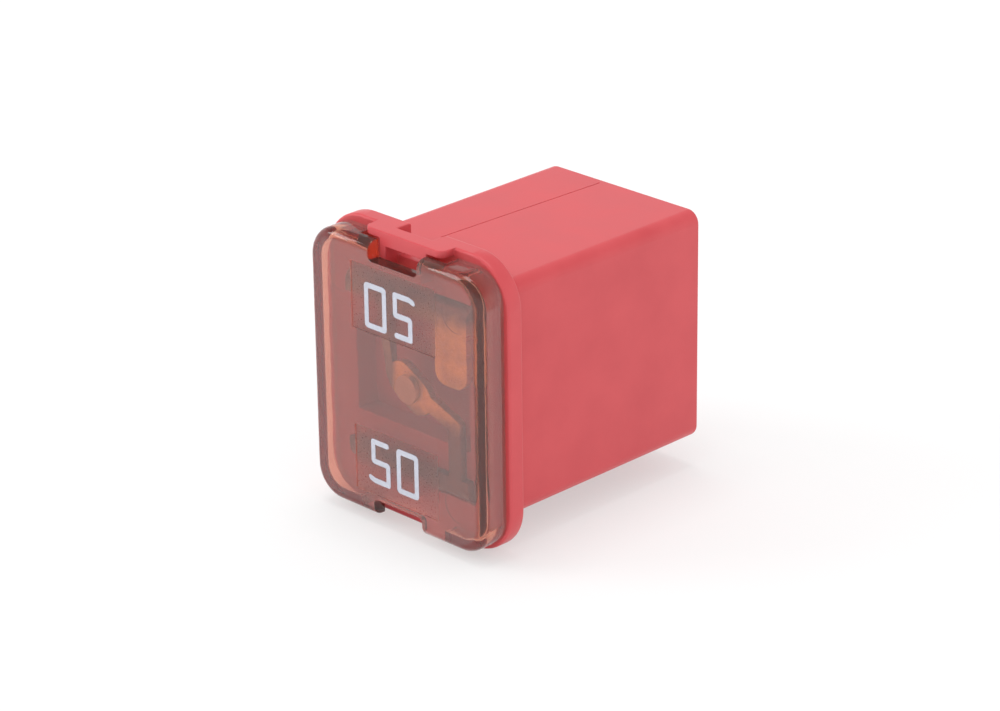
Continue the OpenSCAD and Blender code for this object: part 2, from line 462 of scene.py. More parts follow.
class Finish:
    """A material in the making: a Principled shader with patterns in object coordinates."""

    def __init__(self, name: str) -> None:
        """Starts a material with a Principled shader.

        Args:
            name: Name of the material.
        """
        self.material = bpy.data.materials.new(name)
        self.material.use_nodes = True
        self.tree = self.material.node_tree
        self.shader = self.tree.nodes["Principled BSDF"]
        self.coords = self.tree.nodes.new("ShaderNodeTexCoord").outputs["Object"]

    def set(self, **values: float | Colour) -> None:
        """Sets sockets of the shader, named with underscores for spaces."""
        for name, value in values.items():
            self.shader.inputs[name.replace("_", " ")].default_value = value

    def drive(self, target: str, source: Socket) -> None:
        """Links a pattern to a socket of the shader."""
        self.tree.links.new(source, self.shader.inputs[target])

    def noise(self, size: float, detail: float = NOISE_DETAIL, stretch: Triple = EVEN) -> Socket:
        """Makes a noise with features of one size.

        Args:
            size: Size of a feature, in millimetres.
            detail: How many finer layers it has.
            stretch: Share of the usual number of features along each axis; a small share draws them out.

        Returns:
            The noise's value, about 0.5 on average.
        """
        mapped = add_node(self.tree, "ShaderNodeMapping", {"Vector": self.coords, "Scale": stretch})
        feeds = {"Vector": mapped.outputs["Vector"], "Scale": 1 / (size * MM), "Detail": detail}
        return add_node(self.tree, "ShaderNodeTexNoise", feeds).outputs["Fac"]

    def spread(self, source: Socket, to: Pair, own: Pair = NOISE_SPAN) -> Socket:
        """Spreads the values of a pattern between two others.

        Args:
            source: The pattern.
            to: Values wanted in its troughs and on its crests.
            own: Its own values there.

        Returns:
            The spread pattern.
        """
        feeds = {"Value": source, "From Min": own[0], "From Max": own[1], "To Min": to[0], "To Max": to[1]}
        return add_node(self.tree, "ShaderNodeMapRange", feeds).outputs["Result"]

    def mark(self, name: str) -> Socket:
        """A mark that the mesh carries, from 0 to 1."""
        return add_node(self.tree, "ShaderNodeAttribute", {}, attribute_name=name).outputs["Fac"]

    def either(self, mark: Socket, plain: Socket, marked: Socket) -> Socket:
        """One pattern on plain places and another on marked ones."""
        feeds = {"Factor": mark, "A": plain, "B": marked}
        return add_node(self.tree, "ShaderNodeMix", feeds).outputs["Result"]

    def beyond(self, axis: Axis, middle: float, reach: float, fade: float) -> Socket:
        """Makes a mark that grows from 0 to 1 with the distance from a plane, a little unevenly.

        Args:
            axis: The axis across the plane.
            middle: Place of the plane, in millimetres.
            reach: Distance at which the mark is half grown, in millimetres.
            fade: Width over which it grows, in millimetres.

        Returns:
            The mark.
        """
        place = add_node(self.tree, "ShaderNodeSeparateXYZ", {"Vector": self.coords}).outputs[axis.value]
        away = work_out(self.tree, Sum.SIZE, work_out(self.tree, Sum.TAKE, place, middle * MM))
        uneven = work_out(self.tree, Sum.TIMES_AND_ADD, self.noise(BORDER_PATCH), fade * MM, away)
        return self.spread(uneven, FULL_SPAN, (reach * MM, (reach + fade) * MM))

    def shades(self, source: Socket, low: Colour, high: Colour, span: Pair = NOISE_SPAN) -> Socket:
        """Turns a pattern into colours.

        Args:
            source: The pattern.
            low: Colour in its troughs.
            high: Colour on its crests.
            span: Values of the pattern at which the two colours are reached.

        Returns:
            The colour.
        """
        ramp = add_node(self.tree, "ShaderNodeValToRGB", {"Fac": source})
        for stop, place, colour in zip(ramp.color_ramp.elements, span, (low, high)):
            stop.position = place
            stop.color = colour
        return ramp.outputs["Color"]

    def cover(self, mark: Socket, colour: Socket) -> None:
        """Lays another colour over the base colour where a mark is high.

        Args:
            mark: Where the cover lies.
            colour: Its colour.
        """
        under = self.shader.inputs["Base Color"].links[0].from_socket
        feeds = {"Fac": mark, "Color1": under, "Color2": colour}
        self.drive("Base Color", add_node(self.tree, "ShaderNodeMixRGB", feeds).outputs["Color"])

    def bump(self, source: Socket, depth: float, strength: float | Socket = 1.0) -> None:
        """Raises the surface by a pattern, on top of an earlier one.

        Args:
            source: Height pattern.
            depth: Height of the pattern, in millimetres.
            strength: Share of the bump that shows, or a mark that gives it.
        """
        feeds = {"Height": source, "Distance": depth * MM, "Strength": strength}
        for link in self.shader.inputs["Normal"].links:
            feeds["Normal"] = link.from_socket
        self.drive("Normal", add_node(self.tree, "ShaderNodeBump", feeds).outputs["Normal"])

    def absorb(self, colour: Colour, density: float) -> None:
        """Fills the solid with a tint that deepens with thickness."""
        depth = add_node(self.tree, "ShaderNodeVolumeAbsorption", {"Color": colour, "Density": density})
        self.tree.links.new(depth.outputs["Volume"], self.tree.nodes["Material Output"].inputs["Volume"])


@dataclass(frozen=True)
class MouldedPlastic:
    """Satin moulded plastic with faint flow clouds and a fine grain."""

    name: str
    pale: Colour
    deep: Colour
    ior: float = 1.5
    shine: float = 0.38
    roughness: Pair = (0.30, 0.40)
    cloud_size: float = 2.6
    cloud_detail: float = 4.0
    grain_size: float = 0.09
    grain_detail: float = 2.0
    grain_depth: float = 0.006
    grain_shown: float = 0.35

    def material(self) -> bpy.types.Material:
        """Builds the material.

        Returns:
            The material.
        """
        finish = Finish(self.name)
        finish.set(IOR=self.ior, Specular_IOR_Level=self.shine)
        cloud = finish.noise(self.cloud_size, self.cloud_detail)
        finish.drive("Base Color", finish.shades(cloud, self.deep, self.pale))
        finish.drive("Roughness", finish.spread(cloud, self.roughness))
        finish.bump(finish.noise(self.grain_size, self.grain_detail), self.grain_depth, self.grain_shown)
        return finish.material


@dataclass(frozen=True)
class TintedClear:
    """Clear plastic with a smoky amber tint that deepens with its thickness, grained where it is marked.

    Clarity has a share for the rounds and one for the flat faces. The pairs for tint and roughness have a
    value for the troughs of a pattern and one for its crests.
    """

    name: str
    pale: Colour
    deep: Colour
    absorbed: Colour
    density: float = 1200.0
    ior: float = 1.55
    clarity: Pair = (0.98, 0.92)
    plain_tint: Pair = (0.8, 1.0)
    plain_roughness: Pair = (0.05, 0.09)
    grained_tint: Pair = (0.3, 1.3)
    grained_roughness: Pair = (0.26, 0.38)
    cloud_size: float = 3.0
    grain_size: float = 0.085
    grain_detail: float = 2.0
    grain_depth: float = 0.02
    wave_size: float = 1.1
    wave_detail: float = 1.0
    wave_depth: float = 0.015

    def material(self) -> bpy.types.Material:
        """Builds the material.

        Returns:
            The material.
        """
        finish = Finish(self.name)
        finish.set(IOR=self.ior)
        finish.drive("Transmission Weight", finish.spread(finish.mark(HAZE), self.clarity, FULL_SPAN))
        cloud = finish.noise(self.cloud_size)
        grain = finish.noise(self.grain_size, self.grain_detail)
        grained = finish.mark(GRAIN)
        tint, roughness = (
            finish.either(grained, finish.spread(cloud, on_plain), finish.spread(grain, on_grained))
            for on_plain, on_grained in (
                (self.plain_tint, self.grained_tint),
                (self.plain_roughness, self.grained_roughness),
            )
        )
        finish.drive("Base Color", finish.shades(tint, self.deep, self.pale, FULL_SPAN))
        finish.drive("Roughness", roughness)
        finish.bump(finish.noise(self.wave_size, self.wave_detail), self.wave_depth)
        finish.bump(grain, self.grain_depth, grained)
        finish.absorb(self.absorbed, self.density)
        return finish.material


@dataclass(frozen=True)
class DrawnLines:
    """Fine lines that rolling leaves along Y in sheet metal."""

    size: float = 0.05
    stretch: Triple = (1.0, 0.08, 1.0)
    depth: float = 0.003
    shown: float = 0.4

    def draw(self, finish: Finish) -> Socket:
        """Draws the lines into a metal.

        Args:
            finish: Material that becomes a metal.

        Returns:
            The pattern of the lines.
        """
        finish.set(Metallic=1.0)
        drawn = finish.noise(self.size, stretch=self.stretch)
        finish.bump(drawn, self.depth, self.shown)
        return drawn


@dataclass(frozen=True)
class SheetMetal:
    """Rolled or cast metal of one colour with faint clouds."""

    name: str
    pale: Colour
    deep: Colour
    roughness: Pair
    lines: DrawnLines = DrawnLines()
    cloud_size: float = 1.4
    cloud_detail: float = 4.0

    def material(self) -> bpy.types.Material:
        """Builds the material.

        Returns:
            The material.
        """
        finish = Finish(self.name)
        drawn = self.lines.draw(finish)
        cloud = finish.noise(self.cloud_size, self.cloud_detail)
        finish.drive("Base Color", finish.shades(cloud, self.deep, self.pale))
        finish.drive("Roughness", finish.spread(drawn, self.roughness))
        return finish.material


@dataclass(frozen=True)
class PlatedStrip:
    """Rolled sheet metal that is bare along a band across its middle, bright on its legs, rougher on its
    heads.

    The bare band lies around band_z, above the axis, and beyond it the heads are painted one dark colour as
    shade, the lower head wholly. The olive tarnish lies further than neck_far from neck_x, and the bright
    legs further than head_depth from head_y, all in millimetres.
    """

    name: str
    gold: Colour
    worn_gold: Colour
    olive: Colour
    tarnish_and_shade: Colour
    bright: Colour
    worn: Colour
    roughness: Pair = (0.24, 0.40)
    dull_roughness: Pair = (0.40, 0.55)
    lines: DrawnLines = DrawnLines()
    cloud_size: float = 0.9
    band_z: float = 8.8
    band: float = 2.5
    band_fade: float = 1.0
    fade: float = 0.3
    neck_x: float = 3.0
    neck_far: float = 3.8
    head_y: float = -6.6
    head_depth: float = 1.8

    def material(self) -> bpy.types.Material:
        """Builds the material.

        Returns:
            The material.
        """
        finish = Finish(self.name)
        drawn = self.lines.draw(finish)
        cloud = finish.noise(self.cloud_size)
        neck = finish.beyond(Axis.X, self.neck_x, self.neck_far, self.fade)
        heads = finish.beyond(Axis.Z, self.band_z, self.band, self.band_fade)
        legs = finish.beyond(Axis.Y, self.head_y, self.head_depth, self.fade)
        finish.drive("Base Color", finish.shades(cloud, self.worn_gold, self.gold))
        # Painted shade: beyond the raised band the heads, the lower one wholly, take one near-black colour
        # that stands in for their shade behind the cap
        for mark, low, high in (
            (neck, self.tarnish_and_shade, self.olive),
            (heads, self.tarnish_and_shade, self.tarnish_and_shade),
            (legs, self.worn, self.bright),
        ):
            finish.cover(mark, finish.shades(cloud, low, high))
        roughness = finish.either(heads, finish.spread(drawn, self.roughness),
                                  finish.spread(drawn, self.dull_roughness))
        finish.drive("Roughness", roughness)
        return finish.material


@dataclass(frozen=True)
class PrintInk:
    """Thin pad-printed ink with slightly uneven cover."""

    name: str
    pale: Colour
    deep: Colour
    roughness: Pair = (0.4, 0.6)
    cover_size: float = 0.25
    cover_detail: float = 4.0

    def material(self) -> bpy.types.Material:
        """Builds the material.

        Returns:
            The material.
        """
        finish = Finish(self.name)
        cover = finish.noise(self.cover_size, self.cover_detail)
        finish.drive("Base Color", finish.shades(cover, self.deep, self.pale))
        finish.drive("Roughness", finish.spread(cover, self.roughness))
        return finish.material


RED_PLASTIC = MouldedPlastic(
    name="red_plastic",
    pale=(0.70, 0.089, 0.101, 1),
    deep=(0.645, 0.074, 0.086, 1),
)
CLEAR_CAP = TintedClear(
    name="clear_cap",
    pale=(0.99, 0.90, 0.90, 1),
    deep=(0.67, 0.57, 0.57, 1),
    absorbed=(0.88, 0.37, 0.11, 1),
)
PLATED_STRIP = PlatedStrip(
    name="plated_strip",
    gold=(0.95, 0.70, 0.24, 1),
    worn_gold=(0.66, 0.50, 0.24, 1),
    olive=(0.40, 0.36, 0.24, 1),
    # Near-black of the heads is painted shade; it is also the dark in the troughs of the olive tarnish
    tarnish_and_shade=(0.22, 0.13, 0.12, 1),
    bright=(0.70, 0.69, 0.67, 1),
    worn=(0.60, 0.59, 0.58, 1),
)
DULL_TIN = SheetMetal(
    name="dull_tin",
    pale=(0.74, 0.66, 0.52, 1),
    deep=(0.60, 0.54, 0.42, 1),
    roughness=(0.35, 0.5),
    lines=DrawnLines(stretch=EVEN),
)
SPRING_STEEL = SheetMetal(
    name="spring_steel",
    pale=(0.66, 0.68, 0.70, 1),
    deep=(0.56, 0.58, 0.61, 1),
    roughness=(0.18, 0.3),
)
WHITE_INK = PrintInk(
    name="white_ink",
    pale=(0.62, 0.64, 0.73, 1),
    deep=(0.53, 0.55, 0.63, 1),
)


def dress(thing: bpy.types.Object, material: bpy.types.Material) -> None:
    """Gives a new piece its material and its body.

    Args:
        thing: The piece.
        material: Its material.
    """
    thing.data.materials.append(material)
    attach(thing, "root")


@dataclass
class Housing:
    """Red moulded box with its rim flange, deck, inner walls and puller bar."""

    place: FuseFrame
    flange_t: float = 0.9
    flange_r: float = 2.4
    flange_steps: int = 18
    body_w: float = 9.85
    body_h: float = 11.65
    body_r: float = 0.65
    wall_t: float = 0.9
    deck_t: float = 2.0
    partition_t: float = 0.9
    relief_h: float = 1.8
    bar_w: float = 5.1
    bar_t: float = 0.72
    bar_r: float = 0.4
    bar_steps: int = 8
    arm_t: float = 0.375
    neck_w: float = 3.1
    neck_h: float = 1.75
    slot_w: float = 2.3
    slot_h: float = 0.6
    pocket_w: float = 7.4
    pocket_h: float = 4.6
    pocket_d: float = 1.2
    leg_slot_t: float = 0.5
    bend_r: float = 0.3
    leg_gap: float = 0.05
    ridge_w: float = 6.0
    ridge_h: float = 0.2
    ridge_l: float = 0.5
    ridge_ys: Pair = (-1.975, 6.125)
    line_w: float = 0.05
    line_d: float = 0.03
    line_from: Pair = (-1.6, -3.0)
    line_to: Pair = (-1.2, 7.3)
    rim_round: float = 0.14
    rim_steps: int = 3
    edge_round: float = 0.07

    @property
    def top(self) -> float:
        """Height of the flange's upper edge and of the bar above the axis."""
        return self.place.flange_h / 2

    @property
    def inner_x(self) -> float:
        """Half the width between the side walls."""
        return self.body_w / 2 - self.wall_t

    @property
    def chamber_floor(self) -> float:
        """Height of the upper chamber's floor above the axis."""
        return self.relief_h / 2 + self.partition_t

    def outside(self) -> Solid:
        """Joins the flange, the body and the puller bar.

        Returns:
            The outside of the housing, with its rims rounded.
        """
        place = self.place
        back_y = place.flange_y + self.flange_t
        flange_size = (place.flange_w, place.flange_h)
        flange = Solid.plate(flange_size, self.flange_r, (place.flange_y, back_y), steps=self.flange_steps)
        rims = flange.edges_on(Axis.Y, place.flange_y) + flange.edges_on(Axis.Y, back_y)
        flange.round_edges(rims, self.rim_round, self.rim_steps)
        body_span = (place.flange_y + self.rim_round, place.end_y)
        body = Solid.plate((self.body_w, self.body_h), self.body_r, body_span)
        body.round_edges(body.edges_on(Axis.Y, place.end_y), self.rim_round, self.rim_steps)
        return flange.combine(Join.ADD, body, self.neck(), self.bar())

    def neck(self) -> Solid:
        """Block in front of the flange that carries the bar."""
        return Solid.block((-self.neck_w / 2, self.place.plate_y, self.top - self.neck_h),
                           (self.neck_w / 2, self.place.flange_y + OVERRUN, self.top - self.arm_t / 2))

    def bar(self) -> Solid:
        """Makes the bar across the top of the neck.

        Returns:
            The bar, with its two front corners rounded.
        """
        half_w, low = self.bar_w / 2, self.top - self.arm_t
        near, far = self.place.plate_y, self.place.flange_y + OVERRUN
        outline = ((-half_w, near), (half_w, near), (half_w, far), (-half_w, far))
        corners = [Vector((x, y, low)) for x, y in outline]
        rounds = {0: self.bar_r, 1: self.bar_r}
        return Solid.prism(corners, Vector((0, 0, self.arm_t)), rounds, self.bar_steps)

    def chamber(self) -> tuple[Solid, Solid, Solid]:
        """Makes the cutters of the upper terminal's place.

        Returns:
            The space for the terminal, the slot for its leg and the relief for its bend.
        """
        half_w = self.inner_x
        top = self.body_h / 2 - self.wall_t
        near = self.place.flange_y - OVERRUN
        deck_y = self.place.flange_y + self.deck_t
        bend_y = self.place.flange_y + self.bend_r
        head_z = top - self.leg_slot_t + self.leg_gap - self.bend_r
        space = Solid.block((-half_w, deck_y, self.chamber_floor), (half_w, self.place.end_y + OVERRUN, top))
        slot = Solid.block((-half_w, near, top - self.leg_slot_t), (half_w, deck_y + OVERRUN, top))
        relief = Solid.block((-half_w, near, head_z), (half_w, bend_y, top))
        return space, slot, relief

    def hollows(self) -> tuple[Solid, Solid]:
        """Makes the cutters on the fuse's axis.

        Returns:
            The space between the inner walls and the pocket behind the fuse link.
        """
        place = self.place
        middle = Solid.block((-self.inner_x, place.flange_y + self.deck_t, -self.relief_h / 2),
                             (self.inner_x, place.end_y + OVERRUN, self.relief_h / 2))
        pocket = Solid.block((-self.pocket_w / 2, place.flange_y - OVERRUN, -self.pocket_h / 2),
                             (self.pocket_w / 2, place.flange_y + self.pocket_d, self.pocket_h / 2))
        return middle, pocket

    def ridges(self) -> tuple[Solid, ...]:
        """Makes the ridges on the upper inner wall that trap the spring clip.

        Returns:
            The ridges, rooted in the wall.
        """
        root, crest = self.chamber_floor - self.partition_t / 2, self.chamber_floor + self.ridge_h
        return tuple(
            Solid.block((-self.ridge_w / 2, y, root), (self.ridge_w / 2, y + self.ridge_l, crest))
            for y in self.ridge_ys
        )

    def mould_line(self) -> Solid:
        """Makes the cutter of a hair-fine groove along the top, where two parts of the mould meet.

        Returns:
            The cutter.
        """
        start, stop = Vector(self.line_from), Vector(self.line_to)
        along = (stop - start).normalized()
        aside = Vector((-along.y, along.x)) * self.line_w / 2
        floor = self.body_h / 2 - self.line_d
        outline = (start - aside, start + aside, stop + aside, stop - aside)
        return Solid.prism([Vector((*point, floor)) for point in outline], Vector((0, 0, OVERRUN)), {})

    def puller_slot(self) -> tuple[Solid, Solid, Solid]:
        """Makes the cutters of the slot for a puller.

        Returns:
            The gap between the posts, the slot through the flange and its way up behind the bar.
        """
        flange_y = self.place.flange_y
        back = flange_y + self.flange_t + OVERRUN
        roof = self.top - self.bar_t
        floor = roof - self.slot_h
        half_w = self.slot_w / 2
        gate = Solid.block((-half_w, self.place.plate_y - OVERRUN, self.top - self.neck_h - OVERRUN),
                           (half_w, flange_y, roof))
        under = Solid.block((-half_w, flange_y - OVERRUN, floor), (half_w, back, roof))
        behind = Solid.block((-half_w, flange_y, floor), (half_w, back, self.top + OVERRUN))
        return gate, under, behind

    def build(self, material: bpy.types.Material) -> bpy.types.Object:
        """Builds and dresses the housing.

        Args:
            material: Its plastic.

        Returns:
            The finished piece.
        """
        shell = self.outside()
        for cutter in self.chamber():
            shell.combine(Join.CUT, *cutter.with_both_sides())
        shell.combine(Join.CUT, *self.hollows(), *self.puller_slot())
        for ridge in self.ridges():
            shell.combine(Join.ADD, *ridge.with_both_sides())
        shell.round_sharp(self.edge_round).press_down(self.top)
        shell.combine(Join.CUT, self.mould_line())
        thing = shell.piece("housing_shell", self.place.axis_z)
        dress(thing, material)
        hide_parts("housing")
        return thing


@dataclass
class Cap:
    """Clear tray that is welded to the flange's front, with notches and two grained panels."""

    place: FuseFrame
    plate_t: float = 0.7
    skirt_t: float = 0.55
    corner_r: float = 1.6
    corner_steps: int = 16
    front_round: float = 0.5
    front_steps: int = 6
    inner_corner_steps: int = 12
    inner_round: float = 0.06
    inner_steps: int = 4
    notch_w: float = 3.2
    notch_d: float = 0.87
    notch_r: float = 0.25
    notch_steps: int = 6
    skirt_gap_w: float = 5.6
    panel_w: float = 5.5
    panel_h: float = 3.3
    panel_z: float = 4.08
    panel_d: float = 0.03
    pin_r: float = 0.9
    pin_d: float = 0.03
    pin_at: Pair = (3.78, 4.72)
    edge_round: float = 0.04
    weld_d: float = 0.01

    @property
    def seat_y(self) -> float:
        """Place of the skirt's end, which the weld sinks into the flange."""
        return self.place.flange_y + self.weld_d

    @property
    def inner_y(self) -> float:
        """Place of the plate's inner face."""
        return self.place.cap_y + self.plate_t

    @property
    def panel_y(self) -> float:
        """Place of the grained floors of the panels."""
        return self.place.cap_y + self.panel_d

    def tray(self) -> Solid:
        """Makes the plate and its skirt, before the notches are cut.

        Returns:
            The tray.
        """
        place = self.place
        tray = Solid.plate((place.cap_w, place.cap_h), self.corner_r, (place.cap_y, self.seat_y),
                           steps=self.corner_steps)
        tray.round_edges(tray.edges_on(Axis.Y, place.cap_y), self.front_round, self.front_steps)
        hollow = Solid.plate((place.cap_w - 2 * self.skirt_t, place.cap_h - 2 * self.skirt_t),
                             self.corner_r - self.skirt_t, (self.inner_y, place.flange_y + OVERRUN),
                             steps=self.inner_corner_steps)
        hollow.round_edges(hollow.edges_on(Axis.Y, self.inner_y), self.inner_round, self.inner_steps)
        return tray.combine(Join.CUT, hollow)

    def notches(self, side: Side) -> tuple[Solid, Solid]:
        """Makes the cutters of one notch.

        Args:
            side: The edge of the cap that it is in.

        Returns:
            The notch through the plate and the wider gap in the skirt behind it.
        """
        place = self.place
        middle = (0.0, side.value * place.cap_h / 2)
        far = place.flange_y + OVERRUN
        notch = Solid.plate((self.notch_w, 2 * self.notch_d), self.notch_r, (place.cap_y - OVERRUN, far),
                            middle, self.notch_steps)
        gap = Solid.plate((self.skirt_gap_w, 2 * self.skirt_t + 2 * OVERRUN), 0, (self.inner_y, far), middle)
        return notch, gap

    def panel(self, side: Side) -> Solid:
        """Cutter of the shallow recess of one grained panel."""
        return Solid.plate((self.panel_w, self.panel_h), 0, (self.place.cap_y - OVERRUN, self.panel_y),
                           (0, side.value * self.panel_z))

    def pin_marks(self, side: Side) -> tuple[Solid, ...]:
        """Makes the cutters of the faint round marks that the mould's pins leave on the inner face.

        Args:
            side: Half of the cap that they are in.

        Returns:
            The cutters, left and right.
        """
        span = (self.inner_y - self.pin_d, self.inner_y + OVERRUN / 2)
        return tuple(
            Solid.disc(self.pin_r, span, (across * self.pin_at[0], side.value * self.pin_at[1]))
            for across in (-1, 1)
        )

    def mark_faces(self, tray: Solid) -> None:
        """Marks the grained floors of the panels and the flat faces.

        Args:
            tray: The finished form of the cap.
        """
        grain = tray.mesh.faces.layers.float.new(GRAIN)
        haze = tray.mesh.verts.layers.float.new(HAZE)
        tray.mesh.normal_update()
        for face in tray.mesh.faces:
            face[grain] = float(all(abs(vert.co.y - self.panel_y) < WELD for vert in face.verts))
            # The skirt's flat sides are hazy too, but not the walls of the notches and the panels
            outer = abs(face.normal.x) > SQUARE and abs(face.calc_center_median().x) > self.panel_w / 2
            if outer or abs(face.normal.y) > SQUARE:
                for vert in face.verts:
                    vert[haze] = 1.0

    def build(self, material: bpy.types.Material) -> bpy.types.Object:
        """Builds and dresses the cap.

        Args:
            material: Its clear plastic.

        Returns:
            The finished piece.
        """
        tray = self.tray()
        for side in Side:
            tray.combine(Join.CUT, *self.notches(side))
        tray.round_sharp(self.edge_round, self.seat_y)
        for side in Side:
            tray.combine(Join.CUT, self.panel(side), *self.pin_marks(side))
        self.mark_faces(tray)
        thing = tray.piece("cap_tray", self.place.axis_z)
        dress(thing, material)
        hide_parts("cap")
        return thing


@dataclass
class RatingPrint:
    """White rating numerals on the two panels of the cap, each readable from its own end."""

    cap: Cap
    digit_w: float = 1.45
    digit_h: float = 2.25
    stroke: float = 0.27
    stem_in: float = 0.2
    arm_in: float = 0.07
    hook_l: float = 0.4
    hook_h: float = 0.12
    gap: float = 0.45
    ink_t: float = 0.02
    sunk: float = 0.005
    upper_at: Pair = (-0.23, 3.79)
    lower_at: Pair = (-0.24, -4.02)
    round_r: float = 0.13
    bend_r: float = 0.2
    bend_steps: int = 4
    hole_steps: int = 3

    def depth(self) -> Pair:
        """Front and back of the ink, which lies on a panel's floor."""
        back = self.cap.panel_y + self.sunk
        return back - self.ink_t, back

    def nought(self, left: float) -> Solid:
        """Makes the digit 0.

        Args:
            left: Place of its left edge.

        Returns:
            The digit.
        """
        middle = (left + self.digit_w / 2, 0.0)
        front, back = self.depth()
        inside = (self.digit_w - 2 * self.stroke, self.digit_h - 2 * self.stroke)
        ring = Solid.plate((self.digit_w, self.digit_h), self.bend_r, (front, back), middle, self.bend_steps)
        through = (front - OVERRUN, back + OVERRUN)
        hole = Solid.plate(inside, self.round_r / 2, through, middle, self.hole_steps)
        return ring.combine(Join.CUT, hole)

    def five(self, left: float) -> Solid:
        """Makes the digit 5.

        Args:
            left: Place of its left edge.

        Returns:
            The digit.
        """
        right = left + self.digit_w
        top, foot, stroke = self.digit_h / 2, -self.digit_h / 2, self.stroke
        waist = stroke / 2
        stem, arm, hook = left + self.stem_in, right - self.arm_in, left + self.hook_l
        tip, bend = self.round_r, self.bend_r
        front, back = self.depth()
        outline = [
            (stem, top, tip), (arm, top, tip), (arm, top - stroke, tip),
            (stem + stroke, top - stroke, 0), (stem + stroke, waist, 0),
            (right, waist, bend), (right, foot, tip), (hook, foot, 0),
            (left, foot + self.hook_h, tip), (left, foot + stroke + self.hook_h, tip),
            (hook, foot + stroke, 0), (right - stroke, foot + stroke, 0),
            (right - stroke, waist - stroke, 0), (stem, waist - stroke, bend),
        ]
        corners = [Vector((x, front, z)) for x, z, _ in outline]
        rounds = {place: radius for place, (_, _, radius) in enumerate(outline) if radius}
        return Solid.prism(corners, Vector((0, back - front, 0)), rounds, self.bend_steps)

    def build(self, material: bpy.types.Material) -> list[bpy.types.Object]:
        """Builds and dresses both numbers.

        Args:
            material: The ink.

        Returns:
            The upper and the lower number.
        """
        place = self.cap.place
        made = []
        for side, at in ((Side.UPPER, self.upper_at), (Side.LOWER, self.lower_at)):
            number = self.five(-self.gap / 2 - self.digit_w).combine(Join.ADD, self.nought(self.gap / 2))
            if side is Side.UPPER:
                bmesh.ops.rotate(number.mesh, verts=number.mesh.verts[:], cent=(0, place.cap_y, 0),
                                 matrix=Matrix.Rotation(math.pi, 3, "Y"))
            bmesh.ops.translate(number.mesh, verts=number.mesh.verts[:], vec=(at[0], 0, at[1]))
            thing = number.piece(f"rating_{side.name.lower()}", place.axis_z)
            dress(thing, material)
            made.append(thing)
        return made


@dataclass
class SheetPiece:
    """A pressed or turned metal piece that keeps its packed form, with its edges broken."""

    place: FuseFrame
    node: str
    slot: str
    edge_round: float = 0.03

    def build(self, material: bpy.types.Material) -> bpy.types.Object:
        """Builds and dresses the piece.

        Args:
            material: Its metal.

        Returns:
            The finished piece.
        """
        form = Solid.of_node(self.node, self.place.axis_z).round_sharp(self.edge_round)
        thing = form.piece(f"{self.node}_metal", self.place.axis_z)
        dress(thing, material)
        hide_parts(self.node)
        return thing


@dataclass(frozen=True)
class Lamp:
    """Soft square lamp: its place and its side in metres, and its power in watts."""

    name: str
    at: Triple
    size: float
    power: float

    def hang(self, aim: Vector) -> None:
        """Hangs the lamp so that it faces a place.

        Args:
            aim: The place, in metres.
        """
        data = bpy.data.lights.new(self.name, "AREA")
        data.size = self.size
        data.energy = self.power
        thing = add_object(self.name, data)
        away = Vector(self.at) - aim
        thing.matrix_world = Matrix.Translation(self.at) @ away.to_track_quat("Z", "Y").to_matrix().to_4x4()


